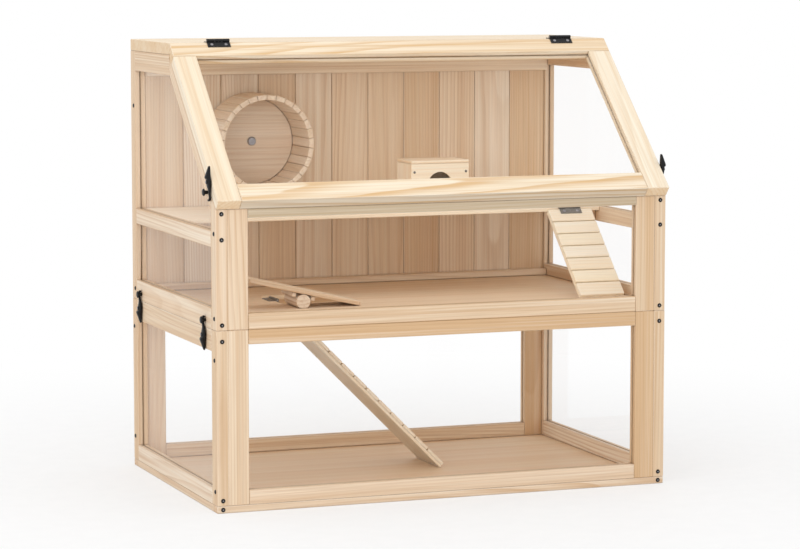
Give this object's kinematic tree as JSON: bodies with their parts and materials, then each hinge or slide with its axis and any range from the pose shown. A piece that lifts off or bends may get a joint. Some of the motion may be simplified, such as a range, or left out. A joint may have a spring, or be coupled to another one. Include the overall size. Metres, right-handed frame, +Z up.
{
  "type": "wooden hamster cage",
  "caption": "Two stacked wooden boxes with clear panes, a hinged sloping lid, side latches, a shelf with a running wheel and a hut, hinged ramps and a seesaw for a small pet.",
  "frame": {"origin": "centre of the whole cage's box, on the plane that the base strips stand on", "axes": "+X from the left side to the right side, +Y from the front to the back wall, +Z up"},
  "size_m": [0.6186, 0.386, 0.5715],
  "materials": {
    "pine": "planed, unvarnished",
    "plywood": "sanded plywood",
    "acrylic": "clear polished",
    "black_plastic": "satin moulded",
    "black_metal": "black lacquered",
    "steel": "zinc plated"
  },
  "bodies": {
    "cage": {"base_strips": "pine", "lower_floor": "plywood", "lower_side_stiles": "pine", "lower_side_top_rails": "pine", "lower_side_bottom_rails": "pine", "lower_panel_stiles": "pine", "lower_panel_rails": "pine", "lower_side_panes": "acrylic", "lower_panel_panes": "acrylic", "upper_side_front_stiles": "pine", "upper_side_back_stiles": "pine", "upper_side_top_rails": "pine", "upper_side_slope_rails": "pine", "upper_side_mid_rails": "pine", "upper_side_bottom_rails": "pine", "gable_panes": "acrylic", "upper_side_low_panes": "acrylic", "upper_front_stiles": "pine", "upper_front_top_rail": "pine", "upper_front_bottom_rail": "pine", "upper_front_pane": "acrylic", "back_boards": "pine", "back_rails": "pine", "upper_floor": "plywood", "shelf": "plywood", "shelf_cleats": "pine", "roof_board": "pine", "roof_hinge_leaves": "black_metal", "hinge_pins": "steel", "wheel_bolt": "steel", "wheel_spacer": "pine", "hut_front": "plywood", "hut_walls": "plywood", "hut_roof": "plywood", "ramp_fixed_leaves": "steel", "seesaw_dowel": "pine", "latch_fittings": "black_plastic", "frame_screws": "black_metal"},
    "lid": {"lid_top_rail": "pine", "lid_bottom_rail": "pine", "lid_stiles": "pine", "lid_pane": "acrylic", "lid_hinge_leaves": "black_metal", "lid_latch_screws": "black_plastic"},
    "wheel": {"wheel_staves": "plywood", "wheel_disc": "plywood"},
    "shelf_ramp": {"shelf_ramp_base": "pine", "shelf_ramp_slats": "plywood", "shelf_ramp_leaf": "steel"},
    "lower_ramp": {"lower_ramp_base": "pine", "lower_ramp_slats": "plywood", "lower_ramp_leaf": "steel"},
    "seesaw": {"seesaw_board": "plywood", "seesaw_stops": "pine"},
    "lid_latch_left": {"lid_latch_left": "black_plastic"},
    "lid_latch_right": {"lid_latch_right": "black_plastic"},
    "latch_left_front": {"latch_left_front": "black_plastic"},
    "latch_left_back": {"latch_left_back": "black_plastic"},
    "latch_right_front": {"latch_right_front": "black_plastic"},
    "latch_right_back": {"latch_right_back": "black_plastic"}
  },
  "joints": [
    {"name": "lid_hinge", "type": "hinge", "parent": "cage", "child": "lid", "pos_m": [0, 0.01125, 0.5693], "axis": [-1, 0, 0], "range_deg": [0, 220]},
    {"name": "wheel_spin", "type": "hinge", "parent": "cage", "child": "wheel", "pos_m": [-0.14305, 0.167, 0.43032], "axis": [0, 1, 0], "continuous": true},
    {"name": "shelf_ramp_hinge", "type": "hinge", "parent": "cage", "child": "shelf_ramp", "pos_m": [0.24, -0.0144, 0.34582], "axis": [-1, 0, 0], "range_deg": [0, 60]},
    {"name": "lower_ramp_hinge", "type": "hinge", "parent": "cage", "child": "lower_ramp", "pos_m": [-0.1606, 0.019, 0.236], "axis": [0, -1, 0], "range_deg": [0, 38]},
    {"name": "seesaw_tilt", "type": "hinge", "parent": "cage", "child": "seesaw", "pos_m": [-0.155, -0.059, 0.2435], "axis": [0, -1, 0], "range_deg": [0, 26]},
    {"name": "lid_latch_left_turn", "type": "hinge", "parent": "lid", "child": "lid_latch_left", "pos_m": [-0.3, -0.16361, 0.40418], "axis": [-1, 0, 0], "range_deg": [-42, 40]},
    {"name": "latch_left_front_turn", "type": "hinge", "parent": "cage", "child": "latch_left_front", "pos_m": [-0.3, -0.138, 0.2155], "axis": [-1, 0, 0], "range_deg": [0, 80]},
    {"name": "latch_left_back_turn", "type": "hinge", "parent": "cage", "child": "latch_left_back", "pos_m": [-0.3, 0.149, 0.2155], "axis": [-1, 0, 0], "range_deg": [0, 80]},
    {"name": "lid_latch_right_turn", "type": "hinge", "parent": "lid", "child": "lid_latch_right", "pos_m": [0.3, -0.16361, 0.40418], "axis": [-1, 0, 0], "range_deg": [-42, 40]},
    {"name": "latch_right_front_turn", "type": "hinge", "parent": "cage", "child": "latch_right_front", "pos_m": [0.3, -0.138, 0.2155], "axis": [-1, 0, 0], "range_deg": [0, 80]},
    {"name": "latch_right_back_turn", "type": "hinge", "parent": "cage", "child": "latch_right_back", "pos_m": [0.3, 0.149, 0.2155], "axis": [-1, 0, 0], "range_deg": [0, 80]}
  ]
}
